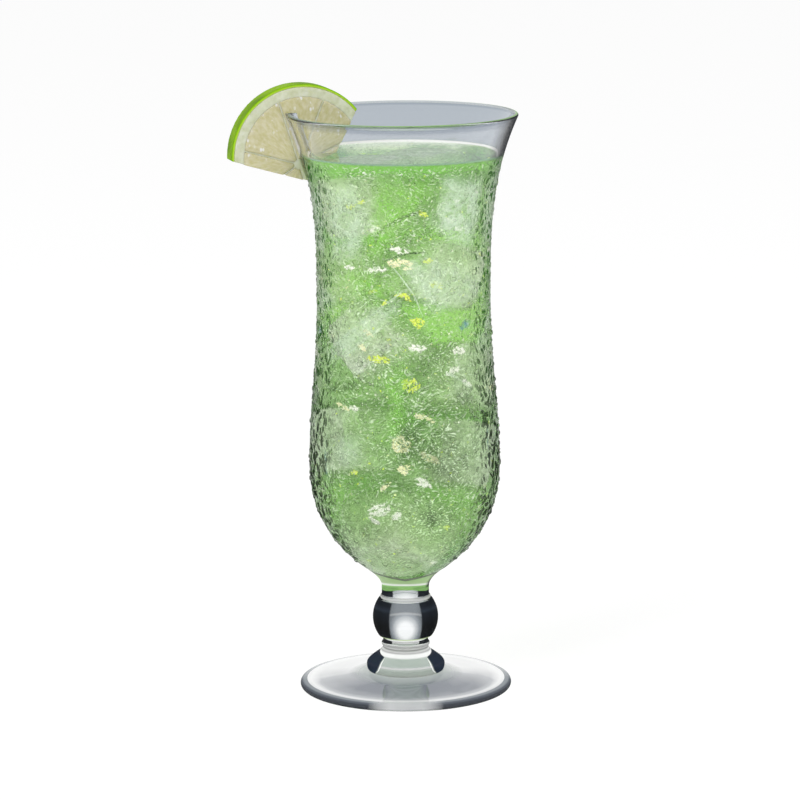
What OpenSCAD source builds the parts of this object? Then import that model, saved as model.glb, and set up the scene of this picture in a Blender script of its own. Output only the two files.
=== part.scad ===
// Hurricane glass, served. A blown tulip bowl stands on a pressed ball stem and foot,
// holds an iced green drink, and carries a wedge of lime slit onto its rim.
// Millimetres, +Z up. The origin is the centre of the foot, on the table.

/* [Glass] */
// Height of the glass, from the table to the rim
glass_h = 210; // [206:0.5:216]
// Height of the seam between the stem and the bowl
seam_z = 37.5; // [36.5:0.5:39]
// Height of the seam between the foot and the stem
boss_z = 6.2; // [5.6:0.1:6.8]

/* [Bowl] */
// Outside diameter at the rim
rim_d = 82.4; // [80:0.2:86]
// Outside diameter at the waist
waist_d = 62.3; // [61.5:0.1:65]
// Outside diameter at the belly
belly_d = 68.8; // [68:0.1:72]
// Height of the flare, from the waist up to the rim
flare_h = 62; // [58:0.5:66]
// Height of the belly above the table
belly_z = 84; // [81:0.5:88]
// Wall thickness from the belly to the waist
wall = 2; // [1.6:0.1:2.4]
// Wall thickness at the rim
lip = 1.7; // [1.4:0.1:2]
// Height from the stem seam to where the outside of the bowl would close to a point
pole_h = 0.5; // [0.2:0.1:1]
// Thickness of the glass under the lowest point of the inside
heel = 5; // [4:0.5:6]
// Height of the cove that blends the bowl into the neck
cove_h = 6.5; // [5.5:0.5:8]

/* [Stem] */
// Diameter of the neck above the ball
neck_d = 17.2; // [15:0.2:19]
// Diameter of the ball
ball_d = 23.8; // [22:0.2:26]
// Height of the ball's centre above the table
ball_z = 26; // [25:0.5:27]
// Height of the ball between its two necks
ball_h = 13.8; // [12:0.2:15]
// Diameter of the shank below the ball
shank_d = 16.4; // [15:0.2:18]
// Height above the table where the bell begins to spread from the shank
spread_z = 15.4; // [14:0.2:16]
// Diameter of the bell at the stem's lower end
bell_d = 28.4; // [27:0.2:31]
// Height of the bell's widest point above the table
bell_z = 8.5; // [8:0.1:10]
// Height of the rings above and below the ball
ring_h = 1.4; // [1:0.1:1.6]
// How far the rings stand out from the neck and the shank
ring_out = 0.6; // [0.3:0.1:0.8]

/* [Foot] */
// Diameter of the foot
foot_d = 76.9; // [72:0.2:82]
// Diameter of the seat for the stem
boss_d = 26.8; // [24:0.2:27]
// Thickness of the foot's rounded edge
foot_edge = 3; // [2.4:0.1:3.6]
// Depth of the shallow hollow under the foot
hollow = 1; // [0.6:0.1:1.4]
// Width of the ring that rests on the table
rest_w = 3; // [2:0.5:6]
// Width of the slope from the resting ring up into the hollow
slope_w = 8; // [4:0.5:14]

/* [Drink] */
// Distance from the rim down to the surface of the drink
headspace = 14.5; // [13:0.5:18]
// Height that the drink creeps up the wall
meniscus = 1.2; // [0.6:0.1:1.6]
// Gap between the drink and the glass
fill_gap = 0.1; // [0.05:0.05:0.2]

/* [Ice] */
// Edge of an ice cube, as a share of the largest with which the heap fits in the bowl
ice_share = 1; // [0.8:0.01:1]
// Gap between an ice cube and the drink
ice_gap = 0.15; // [0.1:0.05:0.25]

/* [Lime] */
// Diameter of the lime
lime_d = 52; // [48:0.5:56]
// Thickness of the wedge
lime_t = 8; // [6:0.5:9]
// Thickness of the green skin
zest_t = 1; // [0.8:0.1:1.4]
// Thickness of the white pith
pith_t = 3.6; // [2.5:0.1:4.5]
// Thickness of the wall between two segments
membrane_t = 0.7; // [0.5:0.1:1]
// Diameter of the core
core_d = 4; // [3:0.2:5]
// Distance of the core from the lime's centre, back towards the skin outside the glass
core_back = 1.3; // [0:0.1:2]
// Distance of the core below the lime's centre
core_down = 2.6; // [0:0.1:3]
// Gap between a segment and the pith
pulp_gap = 0.05; // [0.03:0.01:0.1]
// Bearing on the rim at which the wedge sits, in degrees from +X
lime_bearing = 174; // [170:1:186]
// Angle that the wedge is turned from the rim's radius, in degrees
lime_turn = 21; // [0:1:24]
// Distance of the lime's centre inside the rim
lime_reach = 3.5; // [2:0.5:5]
// Distance of the lime's centre below the rim
lime_drop = 15.7; // [15:0.1:17]
// Distance of the lower cut from the lime's centre
low_cut = 7.8; // [7:0.1:8.5]
// Angle of the lower cut, in degrees
low_angle = -16; // [-18:1:-12]
// Distance of the inner cut from the lime's centre
side_cut = 10.1; // [9.5:0.1:11]
// Angle of the inner cut, in degrees
side_angle = 62; // [58:1:66]
// Gap between the slit in the lime and the glass
slit_gap = 0.3; // [0.2:0.05:0.5]
// Gap between the lime's tip and the drink
tip_gap = 0.4; // [0.3:0.05:0.6]

/* [Hidden] */
$fn = 96;
over = 1;

// Shares that shape the bowl: how late the rim flares, how late the waist swells into
// the belly, and how full and how pointed the heel is
flare_share = 2.75;
swell_share = 1.2;
full_share = 2.3;
point_share = 0.72;
// How quickly the top of the foot falls away from the stem, as a share
fall_share = 1.6;
// Radius of the ball that rounds an ice cube's corners, as a share of its edge
corner_share = 0.76;

// Steps along each stretch of a curve
flare_steps = 14;
swell_steps = 12;
heel_steps = 14;
cove_steps = 6;
lip_steps = 8;
bell_steps = 10;
ball_steps = 16;
ring_steps = 6;
foot_steps = 12;
edge_steps = 10;
slope_steps = 6;
meniscus_steps = 5;
wall_steps = 12;

rim_r = rim_d / 2;
waist_r = waist_d / 2;
belly_r = belly_d / 2;
waist_z = glass_h - flare_h;
lip_z = glass_h - lip / 2;
pole_z = seam_z + pole_h;
well_z = seam_z + heel;
level_z = glass_h - headspace;
neck_r = neck_d / 2;
cove_z = seam_z + cove_h;

// Bowl curves: each gives the radius at height z of a surface with the given radii at
// the rim, the waist and the belly, and the given lowest point
function flare_r(z, rim, waist) =
    waist + (rim - waist) * pow((z - waist_z) / (lip_z - waist_z), flare_share);
function swell_r(z, waist, belly) =
    let (drop = pow((waist_z - z) / (waist_z - belly_z), swell_share))
    waist + (belly - waist) * (1 - cos(180 * drop)) / 2;
function heel_r(z, belly, low) =
    let (depth = (belly_z - z) / (belly_z - low))
    belly * pow(max(0, 1 - pow(depth, full_share)), point_share);
function bowl_r(z, rim, waist, belly, low) =
    z >= waist_z ? flare_r(z, rim, waist)
    : z >= belly_z ? swell_r(z, waist, belly)
    : heel_r(z, belly, low);
function outer_r(z) = bowl_r(z, rim_r, waist_r, belly_r, pole_z);
function inner_r(z, gap = 0) =
    bowl_r(z, rim_r - lip - gap, waist_r - wall - gap, belly_r - wall - gap, well_z + gap);

// Heights at which a bowl surface is drawn, from the lowest point up to a top height
function heel_heights(low) =
    [for (i = [0 : heel_steps - 1]) belly_z - (belly_z - low) * cos(90 * i / heel_steps)];
function swell_heights() =
    [for (i = [0 : swell_steps - 1]) belly_z + (waist_z - belly_z) * i / swell_steps];
function flare_heights(top) =
    [for (i = [0 : flare_steps]) waist_z + (top - waist_z) * i / flare_steps];
function inner_line(top, gap = 0) = [
    for (z = concat(heel_heights(well_z + gap), swell_heights(), flare_heights(top)))
        [inner_r(z, gap), z]
];

// The cove meets the heel at one slope, so that the two blend
cove_r = outer_r(cove_z);
cove_probe = cove_h / cove_steps;
cove_rise = outer_r(cove_z + cove_probe) - cove_r;
cove_power = cove_rise / cove_probe * cove_h / (cove_r - neck_r);
function cove_line() = [
    for (i = [0 : cove_steps])
        [neck_r + (cove_r - neck_r) * pow(i / cove_steps, cove_power), seam_z + cove_h * i / cove_steps]
];
function outer_line() = concat(
    cove_line(),
    [for (z = heel_heights(pole_z)) if (z > cove_z + cove_probe) [outer_r(z), z]],
    [for (z = concat(swell_heights(), flare_heights(lip_z))) [outer_r(z), z]]
);
function lip_line() = [
    for (i = [1 : lip_steps - 1])
        [rim_r - lip / 2 + lip / 2 * cos(180 * i / lip_steps), lip_z + lip / 2 * sin(180 * i / lip_steps)]
];
function reversed(list) = [for (i = [len(list) - 1 : -1 : 0]) list[i]];

module bowl() {
    color([0.86, 0.91, 0.92, 0.35]) rotate_extrude()
        polygon(concat([[0, seam_z]], outer_line(), lip_line(), reversed(inner_line(lip_z))));
}

// Stem, from the seat on the foot up to the bowl
ball_r = ball_d / 2;
shank_r = shank_d / 2;
bell_r = bell_d / 2;
boss_r = boss_d / 2;
ball_cut = asin(ball_h / ball_d);
function bell_line() = concat(
    [for (i = [0 : bell_steps])
        [boss_r + (bell_r - boss_r) * sin(90 * i / bell_steps),
         bell_z - (bell_z - boss_z) * cos(90 * i / bell_steps)]],
    [for (i = [1 : bell_steps - 1])
        [shank_r + (bell_r - shank_r) * (1 + cos(180 * i / bell_steps)) / 2,
         bell_z + (spread_z - bell_z) * i / bell_steps]]
);
function ring_line(r, low) = [
    for (i = [0 : ring_steps])
        [r + ring_out * sin(180 * i / ring_steps), low + ring_h * (1 - cos(180 * i / ring_steps)) / 2]
];
function ball_line() = [
    for (i = [0 : ball_steps])
        let (a = ball_cut * (2 * i / ball_steps - 1))
        [ball_r * cos(a), ball_z + ball_r * sin(a)]
];

module stem() {
    color([0.86, 0.9, 0.92, 0.45]) rotate_extrude()
        polygon(concat(
            [[0, boss_z]],
            bell_line(),
            ring_line(shank_r, spread_z),
            [[shank_r, ball_z - ball_h / 2]],
            ball_line(),
            ring_line(neck_r, ball_z + ball_h / 2),
            [[neck_r, seam_z], [0, seam_z]]
        ));
}

// Foot, with a rounded edge and a shallow hollow beneath
foot_r = foot_d / 2;
edge_r = foot_edge / 2;
rest_r = foot_r - edge_r - rest_w;
function foot_top() = [
    for (i = [0 : foot_steps])
        let (t = i / foot_steps)
        [boss_r + (foot_r - edge_r - boss_r) * t, foot_edge + (boss_z - foot_edge) * pow(1 - t, fall_share)]
];
function foot_side() = [
    for (i = [1 : edge_steps])
        [foot_r - edge_r + edge_r * sin(180 * i / edge_steps), edge_r + edge_r * cos(180 * i / edge_steps)]
];
function foot_under() = [
    for (i = [0 : slope_steps])
        [rest_r - slope_w * i / slope_steps, hollow * (1 - cos(180 * i / slope_steps)) / 2]
];

module foot() {
    color([0.84, 0.88, 0.9, 0.45]) rotate_extrude()
        polygon(concat([[0, boss_z]], foot_top(), foot_side(), foot_under(), [[0, hollow]]));
}

// The ice lies heaped from the lowest point of the inside. Centres are shares of a cube's
// edge, so that the heap keeps its gaps at any size of cube, and turns are in degrees
ice_spot_shares = [
    [-0.09, -0.20, 0.88], [0.10, 0.66, 1.89], [0.62, -0.31, 2.04], [-0.69, -0.33, 2.24],
    [-0.25, 0.52, 3.11], [0.61, -0.13, 3.19], [-0.36, -0.52, 3.86], [-0.42, 0.45, 4.87],
    [0.43, -0.30, 4.95], [-0.53, -0.34, 6.10], [0.33, 0.49, 6.10]
];
ice_turns = [
    [25, 10, 135], [-10, -5, 40], [-10, 15, 35], [-15, 5, 25],
    [-15, 20, 50], [-15, 20, 50], [-45, 20, 55], [-10, 90, 30],
    [0, 20, 40], [-10, -5, 55], [-10, 0, 50]
];
ice_count = len(ice_turns);
// The heap is this many edges tall, and reaches this many from the axis of the glass
heap_h_shares = 6.77;
heap_r_shares = 1.29;
ice_size = ice_share * min((level_z - well_z) / heap_h_shares, (waist_r - wall) / heap_r_shares);

module ice_at(i) {
    translate([0, 0, well_z]) translate(ice_size * ice_spot_shares[i]) rotate(ice_turns[i]) children();
}
module ice_body(grow = 0) {
    intersection() {
        cube(ice_size + 2 * grow, center = true);
        sphere(r = ice_size * corner_share + grow);
    }
}
module ice_cube(i) {
    color([0.85, 0.95, 0.9, 0.6]) ice_at(i) ice_body();
}

// Lime wedge: its plane stands upright on the rim, X inwards and Y up
lime_r = lime_d / 2;
pulp_r = lime_r - zest_t - pith_t;
core_r = core_d / 2;
seat_r = rim_r - lip / 2;
segment_angles = [-42, 24, 68, 108, 165, 213, 286];
segment_count = len(segment_angles) - 1;
// The lime's lowest point is where its two cuts cross
tip_span = side_angle - low_angle;
tip_x = (side_cut * cos(low_angle) - low_cut * cos(side_angle)) / sin(tip_span);
tip_y = (side_cut * sin(low_angle) - low_cut * sin(side_angle)) / sin(tip_span);
tip_z = glass_h - lime_drop + tip_y;
// The wedge lifts off along the flare of the wall
lift_run = outer_r(lip_z) - outer_r(tip_z);
lift_angle = atan(lift_run / (lip_z - tip_z));
echo(lift_axis = [sin(lift_angle) * cos(lime_bearing), sin(lift_angle) * sin(lime_bearing), cos(lift_angle)]);
echo(tip = [tip_x, tip_y, tip_z]);

module at_lime() {
    rotate([0, 0, lime_bearing]) translate([seat_r, 0, glass_h])
        rotate([0, 0, 180 + lime_turn]) translate([lime_reach, 0, -lime_drop])
            rotate([90, 0, 0]) children();
}
module cut_off(distance, angle) {
    rotate(angle) translate([-lime_d, -distance - 2 * lime_d]) square(2 * lime_d);
}
module wedge_shape(r, grow = 0) {
    difference() {
        circle(r + grow);
        cut_off(low_cut + grow, low_angle);
        cut_off(side_cut + grow, side_angle);
    }
}

// Slot for the wall of the glass, parallel to the lift and open below
function lean(z) = (z - lip_z) * tan(lift_angle);
slot_side = lime_t / 2 / cos(lime_turn) + (lift_run + lip) * tan(lime_turn);
slot_bend = slot_side * slot_side / 2 / inner_r(tip_z);
wall_dip = min([
    for (i = [0 : wall_steps])
        let (z = tip_z + (lip_z - tip_z) * i / wall_steps)
        inner_r(z) - lean(z)
]);
slot_out = rim_r + slit_gap / cos(lift_angle);
slot_in = wall_dip - slot_bend - slit_gap / cos(lift_angle);
slot_top = glass_h + slit_gap;
slot_low = tip_z - over;
module rim_slot() {
    rotate([0, 0, lime_bearing]) rotate([90, 0, 0]) linear_extrude(2 * lime_d, center = true)
        polygon([
            [slot_out + lean(slot_low), slot_low],
            [slot_out + lean(slot_top), slot_top],
            [slot_in + lean(slot_top), slot_top],
            [slot_in + lean(slot_low), slot_low]
        ]);
}
module lime_slice() {
    difference() {
        at_lime() linear_extrude(lime_t, center = true) children();
        rim_slot();
    }
}

// One segment between two membranes, drawn in by a gap all round
module segment_shape(i, gap = 0) {
    a = segment_angles[i];
    b = segment_angles[i + 1];
    inset = (membrane_t / 2 + gap) / sin((b - a) / 2);
    middle = (a + b) / 2;
    difference() {
        intersection() {
            wedge_shape(pulp_r - gap);
            translate([-core_back, -core_down]) translate([inset * cos(middle), inset * sin(middle)])
                polygon([[0, 0], lime_d * [cos(a), sin(a)], lime_d * [cos(middle), sin(middle)],
                         lime_d * [cos(b), sin(b)]]);
        }
        translate([-core_back, -core_down]) circle(core_r + gap);
    }
}

module lime_zest() {
    color([0.55, 0.78, 0.12]) lime_slice() difference() {
        wedge_shape(lime_r);
        circle(lime_r - zest_t);
    }
}
module lime_pith() {
    color([0.86, 0.87, 0.78]) lime_slice() difference() {
        wedge_shape(lime_r - zest_t);
        for (i = [0 : segment_count - 1]) segment_shape(i);
    }
}
module lime_segment(i) {
    color([0.84, 0.82, 0.58]) lime_slice() segment_shape(i, pulp_gap);
}

// The tip drifts towards the back of its pocket while the wedge lifts along the wall
immersion = level_z + meniscus - tip_z;
tip_drift = immersion * tan(lift_angle) * sin(lime_turn);
module tip_pocket() {
    at_lime() translate([0, 0, -tip_drift / 2])
        linear_extrude(lime_t + 2 * tip_gap + tip_drift, center = true) wedge_shape(lime_r, tip_gap);
}

// The surface of the drink leaves the wall in a quarter round
function meniscus_line() = [
    for (i = [1 : meniscus_steps])
        let (a = 90 * i / meniscus_steps, z = level_z + meniscus * (1 - sin(a)))
        [inner_r(z, fill_gap) - meniscus * (1 - cos(a)), z]
];

module drink() {
    color([0.45, 0.72, 0.42, 0.7]) difference() {
        rotate_extrude()
            polygon(concat(inner_line(level_z + meniscus, fill_gap), meniscus_line(), [[0, level_z]]));
        for (i = [0 : ice_count - 1]) ice_at(i) ice_body(ice_gap);
        tip_pocket();
    }
}

bowl();
stem();
foot();
drink();
ice_cube(0);  // ice_cube_01
ice_cube(1);  // ice_cube_02
ice_cube(2);  // ice_cube_03
ice_cube(3);  // ice_cube_04
ice_cube(4);  // ice_cube_05
ice_cube(5);  // ice_cube_06
ice_cube(6);  // ice_cube_07
ice_cube(7);  // ice_cube_08
ice_cube(8);  // ice_cube_09
ice_cube(9);  // ice_cube_10
ice_cube(10);  // ice_cube_11
lime_zest();
lime_pith();
lime_segment(0);  // lime_segment_1
lime_segment(1);  // lime_segment_2
lime_segment(2);  // lime_segment_3
lime_segment(3);  // lime_segment_4
lime_segment(4);  // lime_segment_5
lime_segment(5);  // lime_segment_6
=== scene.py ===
"""Looks for the served hurricane glass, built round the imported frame.

Lengths named in capitals are millimetres, as in part.scad; meshes are in metres.
"""

import math
from math import cos, pi, radians, sin, sqrt, tau

import bmesh
import bpy
import numpy as np
from mathutils import Euler, Matrix, Vector


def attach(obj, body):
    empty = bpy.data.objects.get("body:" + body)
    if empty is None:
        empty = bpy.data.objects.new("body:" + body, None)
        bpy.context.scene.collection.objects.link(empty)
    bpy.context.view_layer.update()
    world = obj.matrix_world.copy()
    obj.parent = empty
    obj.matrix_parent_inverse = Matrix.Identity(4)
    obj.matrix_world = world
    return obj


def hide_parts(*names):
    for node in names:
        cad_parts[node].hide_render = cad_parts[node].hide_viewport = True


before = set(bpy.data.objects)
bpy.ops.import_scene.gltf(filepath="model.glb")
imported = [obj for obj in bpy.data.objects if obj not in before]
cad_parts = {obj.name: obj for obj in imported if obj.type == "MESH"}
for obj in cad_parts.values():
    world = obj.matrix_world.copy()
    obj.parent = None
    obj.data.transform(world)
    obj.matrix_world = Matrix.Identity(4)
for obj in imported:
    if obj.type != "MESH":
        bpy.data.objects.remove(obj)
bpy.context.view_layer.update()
MM = 0.001
SEED = 7
RNG = np.random.default_rng(SEED)
WHITE = (1.0, 1.0, 1.0, 1.0)


def placed(name, data, *materials):
    """A new object in the scene."""
    for material in materials:
        data.materials.append(material)
    thing = bpy.data.objects.new(name, data)
    bpy.context.scene.collection.objects.link(thing)
    return thing


# ---------------- camera
CAMERA_BACK, CAMERA_UP = 1389.87, 368.78
PITCH, YAW, ROLL = 0.186844, 0.00111796, 0.00582906
LENS, SENSOR = 176.45, 36.0
NEAREST, FARTHEST = 50.0, 20000.0
camera_data = bpy.data.cameras.new("camera")
camera_data.lens, camera_data.sensor_width = LENS, SENSOR
camera_data.clip_start, camera_data.clip_end = NEAREST * MM, FARTHEST * MM
camera = placed("camera", camera_data)
turn = (
    Matrix.Rotation(YAW, 4, "Z")
    @ Matrix.Rotation(pi / 2 - PITCH, 4, "X")
    @ Matrix.Rotation(-ROLL, 4, "Z")
)
camera.matrix_world = Matrix.Translation((0, -CAMERA_BACK * MM, CAMERA_UP * MM)) @ turn
bpy.context.scene.camera = camera

# ---------------- glass profile, as in part.scad
GLASS_H, SEAM_Z, BOSS_Z = 210.0, 37.5, 6.2
RIM_R, WAIST_R, BELLY_R = 41.2, 31.15, 34.4
WAIST_Z, BELLY_Z = 148.0, 84.0
WALL, LIP = 2.0, 1.7
LIP_Z = GLASS_H - LIP / 2
POLE_Z, WELL_Z = 38.0, 42.5
COVE_H, NECK_R = 6.5, 8.6
COVE_STEPS = 6
FLARE, SWELL, FULL, POINT = 2.75, 1.2, 2.3, 0.72
BALL_R, BALL_Z, BALL_H = 11.9, 26.0, 13.8
SHANK_R, SPREAD_Z, BELL_R, BELL_Z = 8.2, 15.4, 14.2, 8.5
RING_H, RING_OUT = 1.4, 0.6
FOOT_R, BOSS_R, FOOT_EDGE = 38.45, 13.4, 3.0
HOLLOW, REST_W, SLOPE_W, FALL = 1.0, 3.0, 8.0, 1.6
LEVEL_Z, MENISCUS = 195.5, 0.6
# The number of straight parts in each curve of the profiles, and round the glass.
HEEL_PARTS, SWELL_PARTS, FLARE_PARTS, COVE_PARTS, LIP_PARTS, DRY_PARTS = 60, 48, 60, 24, 20, 24
BELL_PARTS, SPREAD_PARTS, BALL_PARTS, RING_PARTS = 10, 24, 40, 10
SLOPE_PARTS, EDGE_PARTS, TOP_PARTS, MENISCUS_PARTS = 16, 20, 40, 16
AROUND, ON_AXIS = 192, 1e-6
# What the lines leave out above the cove and below the drink's upper edge.
COVE_SKIP, CONTACT_SKIP = 0.4, 0.2


def turns(n, whole=pi):
    """Angles from 0 to the whole in n equal parts."""
    return [whole * i / n for i in range(n + 1)]


def surface_r(z, rim, waist, belly, low):
    """Radius of a bowl surface at height z."""
    if z >= WAIST_Z:
        return waist + (rim - waist) * ((z - WAIST_Z) / (LIP_Z - WAIST_Z)) ** FLARE
    if z >= BELLY_Z:
        drop = ((WAIST_Z - z) / (WAIST_Z - BELLY_Z)) ** SWELL
        return waist + (belly - waist) * (1 - cos(pi * drop)) / 2
    depth = (BELLY_Z - z) / (BELLY_Z - low)
    return belly * max(0.0, 1 - depth**FULL) ** POINT


def outer_r(z):
    return surface_r(z, RIM_R, WAIST_R, BELLY_R, POLE_Z)


def inner_r(z):
    return surface_r(z, RIM_R - LIP, WAIST_R - WALL, BELLY_R - WALL, WELL_Z)


def heights(low, top):
    """Heights from a surface's lowest point up to top, close together near that point."""
    line = [BELLY_Z - (BELLY_Z - low) * cos(a) for a in turns(HEEL_PARTS, pi / 2)[:-1]]
    line += [BELLY_Z + (WAIST_Z - BELLY_Z) * i / SWELL_PARTS for i in range(SWELL_PARTS)]
    return line + [WAIST_Z + (top - WAIST_Z) * i / FLARE_PARTS for i in range(FLARE_PARTS + 1)]


def zoned(points, zone):
    """Points with the material number of the surface that leads to each."""
    return [(r, z, zone) for r, z in points]


cove_z = SEAM_Z + COVE_H
cove_r = outer_r(cove_z)
cove_probe = COVE_H / COVE_STEPS
cove_power = (outer_r(cove_z + cove_probe) - cove_r) / cove_probe * COVE_H / (cove_r - NECK_R)
contact_z = LEVEL_Z + MENISCUS
OUTER, LIP_EDGE, DRY, HIDDEN, LIP_INSIDE = 0, 1, 2, 3, 4
bowl_line = zoned([(0, SEAM_Z), (NECK_R, SEAM_Z)], HIDDEN)
bowl_line += zoned([
    (NECK_R + (cove_r - NECK_R) * (i / COVE_PARTS) ** cove_power, SEAM_Z + COVE_H * i / COVE_PARTS)
    for i in range(1, COVE_PARTS + 1)
], OUTER)
bowl_line += zoned([(outer_r(z), z) for z in heights(POLE_Z, LIP_Z) if z > cove_z + COVE_SKIP], OUTER)
for zone, first, past in ((OUTER, 1, 6), (LIP_EDGE, 6, 12), (LIP_INSIDE, 12, LIP_PARTS)):
    bowl_line += zoned([
        (RIM_R - LIP / 2 + LIP / 2 * cos(a), LIP_Z + LIP / 2 * sin(a)) for a in turns(LIP_PARTS)[first:past]
    ], zone)
dry_heights = [contact_z + (LIP_Z - contact_z) * i / DRY_PARTS for i in range(DRY_PARTS + 1)]
bowl_line += zoned([(inner_r(z), z) for z in dry_heights[::-1]], DRY)
bowl_line += zoned([(inner_r(z), z) for z in heights(WELL_Z, contact_z - CONTACT_SKIP)[::-1]], HIDDEN)


def ring_line(r, low):
    """The rounded ring, RING_H high, that stands out from a radius of the stem."""
    return [(r + RING_OUT * sin(a), low + RING_H * (1 - cos(a)) / 2) for a in turns(RING_PARTS)]


ball_cut = math.asin(BALL_H / 2 / BALL_R)
ball_turns = [ball_cut * (2 * i / BALL_PARTS - 1) for i in range(BALL_PARTS + 1)]
stem_line = [(0, BOSS_Z)]
stem_line += [
    (BOSS_R + (BELL_R - BOSS_R) * sin(a), BELL_Z - (BELL_Z - BOSS_Z) * cos(a))
    for a in turns(BELL_PARTS, pi / 2)
]
stem_line += [
    (SHANK_R + (BELL_R - SHANK_R) * (1 + cos(pi * i / SPREAD_PARTS)) / 2,
     BELL_Z + (SPREAD_Z - BELL_Z) * i / SPREAD_PARTS)
    for i in range(1, SPREAD_PARTS)
]
stem_line += ring_line(SHANK_R, SPREAD_Z)
stem_line += [(SHANK_R, BALL_Z - BALL_H / 2)]
stem_line += [(BALL_R * cos(a), BALL_Z + BALL_R * sin(a)) for a in ball_turns]
stem_line += ring_line(NECK_R, BALL_Z + BALL_H / 2)
stem_line += [(NECK_R, SEAM_Z), (0, SEAM_Z)]
STEM_SIDE, STEM_HIDDEN = 0, 1
stem_line = [(r, z, STEM_HIDDEN if r == 0 or i == 1 else STEM_SIDE) for i, (r, z) in enumerate(stem_line)]

edge_r = FOOT_EDGE / 2
rest_r = FOOT_R - edge_r - REST_W
foot_line = [(0, HOLLOW)]
foot_line += [
    (rest_r - SLOPE_W * (1 - i / SLOPE_PARTS), HOLLOW * (1 + cos(pi * i / SLOPE_PARTS)) / 2)
    for i in range(SLOPE_PARTS + 1)
]
foot_line += [
    (FOOT_R - edge_r + edge_r * sin(a), edge_r - edge_r * cos(a)) for a in turns(EDGE_PARTS)
]
foot_line += [
    (FOOT_R - edge_r - (FOOT_R - edge_r - BOSS_R) * i / TOP_PARTS,
     FOOT_EDGE + (BOSS_Z - FOOT_EDGE) * (i / TOP_PARTS) ** FALL)
    for i in range(1, TOP_PARTS + 1)
]
foot_line += [(0, BOSS_Z)]
FOOT_TOP, FOOT_HIDDEN = 0, 1
UNDERSIDE_POINTS = SLOPE_PARTS + 4
foot_line = [
    (r, z, FOOT_HIDDEN if i < UNDERSIDE_POINTS or i == len(foot_line) - 1 else FOOT_TOP)
    for i, (r, z) in enumerate(foot_line)
]


# ---------------- mesh helpers
def spun(r, a, z):
    """The point at a radius, an angle and a height."""
    return np.array([r * cos(a), r * sin(a), z])


def applied(piece):
    """A piece with its modifiers made part of its mesh."""
    solid = bpy.data.meshes.new_from_object(piece.evaluated_get(bpy.context.evaluated_depsgraph_get()))
    piece.modifiers.clear()
    piece.data = solid
    return piece


def new_piece(name, verts, faces, zones=None, materials=()):
    mesh = bpy.data.meshes.new(name)
    mesh.from_pydata([tuple(v) for v in verts], [], [tuple(f) for f in faces])
    if zones is not None:
        mesh.polygons.foreach_set("material_index", zones)
    work = bmesh.new()
    work.from_mesh(mesh)
    bmesh.ops.recalc_face_normals(work, faces=work.faces)
    work.to_mesh(mesh)
    work.free()
    mesh.shade_smooth()
    return placed(name, mesh, *materials)


def lathe(line):
    """Corners, faces and material numbers of a solid of revolution. The line of (radius,
    height, material number) starts and ends on the axis."""
    verts, faces, zones, rings = [], [], [], []
    for r, z, _ in line:
        if r < ON_AXIS:
            rings.append([len(verts)])
            verts.append((0.0, 0.0, z * MM))
            continue
        rings.append(list(range(len(verts), len(verts) + AROUND)))
        verts += [spun(r, tau * k / AROUND, z) * MM for k in range(AROUND)]
    for low, high, (_, _, zone) in zip(rings, rings[1:], line[1:]):
        for k in range(AROUND):
            j = (k + 1) % AROUND
            if len(low) == 1:
                faces.append((low[0], high[k], high[j]))
            elif len(high) == 1:
                faces.append((low[k], low[j], high[0]))
            else:
                faces.append((low[k], low[j], high[j], high[k]))
            zones.append(zone)
    return verts, faces, zones


def rgb(r, g, b):
    """Linear colour from values of 0 to 255 as a screen shows them."""
    parts = [c / 255 for c in (r, g, b)]
    return tuple(c / 12.92 if c <= 0.04045 else ((c + 0.055) / 1.055) ** 2.4 for c in parts) + (1.0,)


def grey(v):
    return (v, v, v, 1.0)


# The sine of the lean in front(), and the least squared cosine in side().
LEAN, LEAST_LEVEL = 0.2, 0.02
RISE = sqrt(1 - LEAN**2)


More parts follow.
